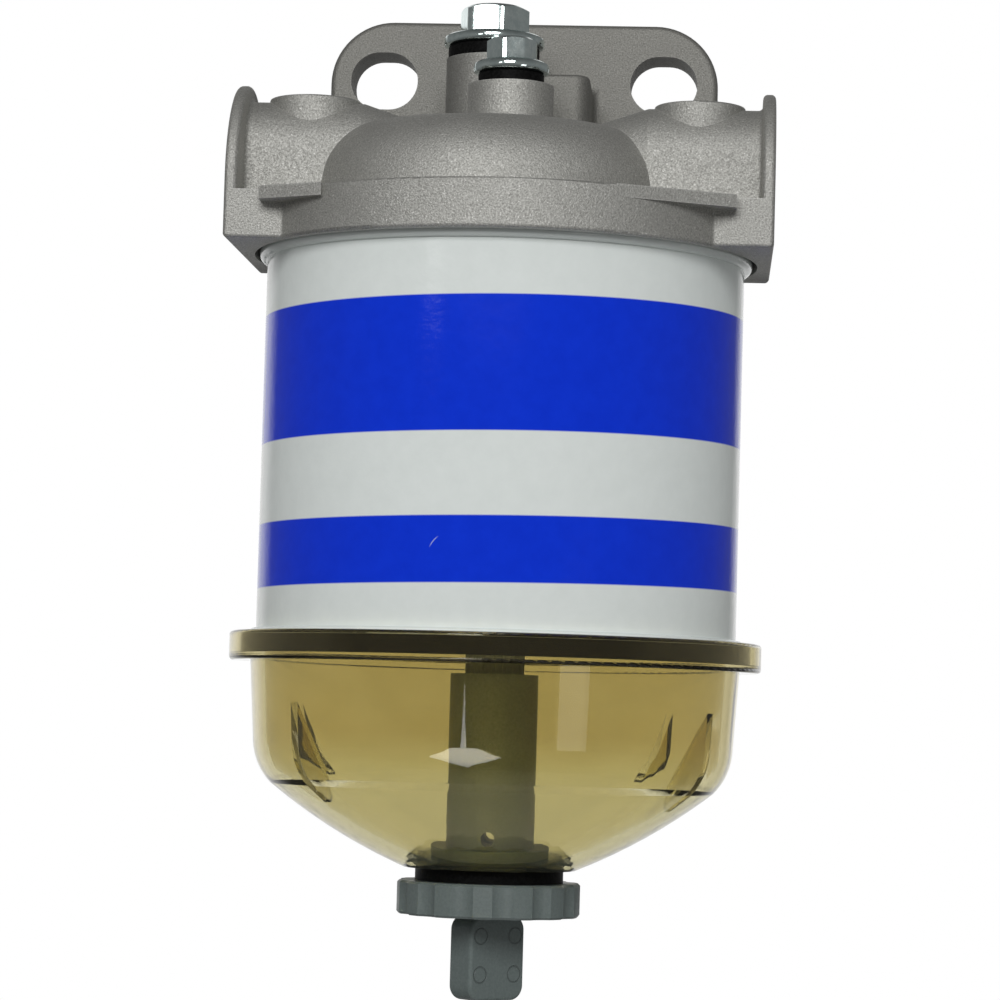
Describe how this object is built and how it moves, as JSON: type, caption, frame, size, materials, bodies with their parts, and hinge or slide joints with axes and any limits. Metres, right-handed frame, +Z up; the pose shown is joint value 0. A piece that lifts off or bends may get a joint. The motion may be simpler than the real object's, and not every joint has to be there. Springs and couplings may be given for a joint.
{
  "type": "fuel water separator",
  "caption": "Wall-mounted fuel filter and water separator: cast head with side and top ports, canister element, clear sediment bowl, bleed and drain screws.",
  "frame": {"origin": "on the wall face of the mounting plate, midway between its two slots", "axes": "+Z up along the filter's axis, +Y back through the mounting slots into the wall, +X to the right seen from the front"},
  "size_m": [0.0944, 0.0971, 0.1821],
  "materials": {
    "cast_aluminium": "as cast, fine shot-blasted grain",
    "zinc_steel": "bright zinc plate",
    "black_rubber": "moulded, slightly shiny",
    "white_enamel": "gloss white enamel with two printed blue bands",
    "tinned_sheet": "tinned sheet steel",
    "filter_paper": "resin-treated paper",
    "amber_clear_plastic": "clear, polished",
    "grey_column_plastic": "moulded",
    "brass_insert": "turned",
    "grey_plastic": "moulded, satin"
  },
  "bodies": {
    "root": {"filter_head": "cast_aluminium", "head_seal_ring": "black_rubber", "upper_centre_seal": "black_rubber", "element_can": "white_enamel", "element_top_cap": "tinned_sheet", "element_bottom_cap": "tinned_sheet", "element_centre_tube": "tinned_sheet", "element_paper": "filter_paper", "lower_centre_seal": "black_rubber", "bowl_seal_ring": "black_rubber", "sediment_bowl": "amber_clear_plastic", "centre_column": "grey_column_plastic", "column_insert": "brass_insert"},
    "centre_bolt_seal": {"centre_bolt_seal": "black_rubber"},
    "centre_bolt": {"centre_bolt": "zinc_steel"},
    "bleed_screw_seal": {"bleed_screw_seal": "black_rubber"},
    "bleed_screw": {"bleed_screw": "zinc_steel"},
    "bowl_gasket": {"bowl_gasket": "black_rubber"},
    "bowl_nut": {"bowl_nut": "grey_plastic"},
    "drain_o_ring": {"drain_o_ring": "black_rubber"},
    "drain_screw": {"drain_screw": "grey_plastic"}
  },
  "joints": [
    {"name": "centre_bolt_rise", "type": "slide", "parent": "root", "child": "centre_bolt_seal", "axis": [0, 0, 1], "range_m": [0, 0.01001]},
    {"name": "centre_bolt_turn", "type": "hinge", "parent": "centre_bolt_seal", "child": "centre_bolt", "pos_m": [0, -0.05, -0.006], "axis": [0, 0, 1], "range_deg": [0, 3600]},
    {"name": "bleed_screw_rise", "type": "slide", "parent": "root", "child": "bleed_screw_seal", "axis": [0, 0, 1], "range_m": [0, 0.00376]},
    {"name": "bleed_screw_turn", "type": "hinge", "parent": "bleed_screw_seal", "child": "bleed_screw", "pos_m": [-0.0044, -0.032, 0.0024], "axis": [0, 0, 1], "range_deg": [0, 1080]},
    {"name": "bowl_nut_drop", "type": "slide", "parent": "root", "child": "bowl_gasket", "axis": [0, 0, -1], "range_m": [0, 0.00526]},
    {"name": "bowl_nut_turn", "type": "hinge", "parent": "bowl_gasket", "child": "bowl_nut", "pos_m": [0, -0.05, -0.153], "axis": [0, 0, -1], "range_deg": [0, 1260]},
    {"name": "drain_screw_drop", "type": "slide", "parent": "root", "child": "drain_o_ring", "axis": [0, 0, -1], "range_m": [0, 0.00376]},
    {"name": "drain_screw_turn", "type": "hinge", "parent": "drain_o_ring", "child": "drain_screw", "pos_m": [0, -0.05, -0.156], "axis": [0, 0, -1], "range_deg": [0, 1080]}
  ],
  "couplings": [
    {"joint": "centre_bolt_rise", "follows": "centre_bolt_turn", "m_per_rad": 0.00015915},
    {"joint": "bleed_screw_rise", "follows": "bleed_screw_turn", "m_per_rad": 0.00019894},
    {"joint": "bowl_nut_drop", "follows": "bowl_nut_turn", "m_per_rad": 0.00023873},
    {"joint": "drain_screw_drop", "follows": "drain_screw_turn", "m_per_rad": 0.00019894}
  ]
}
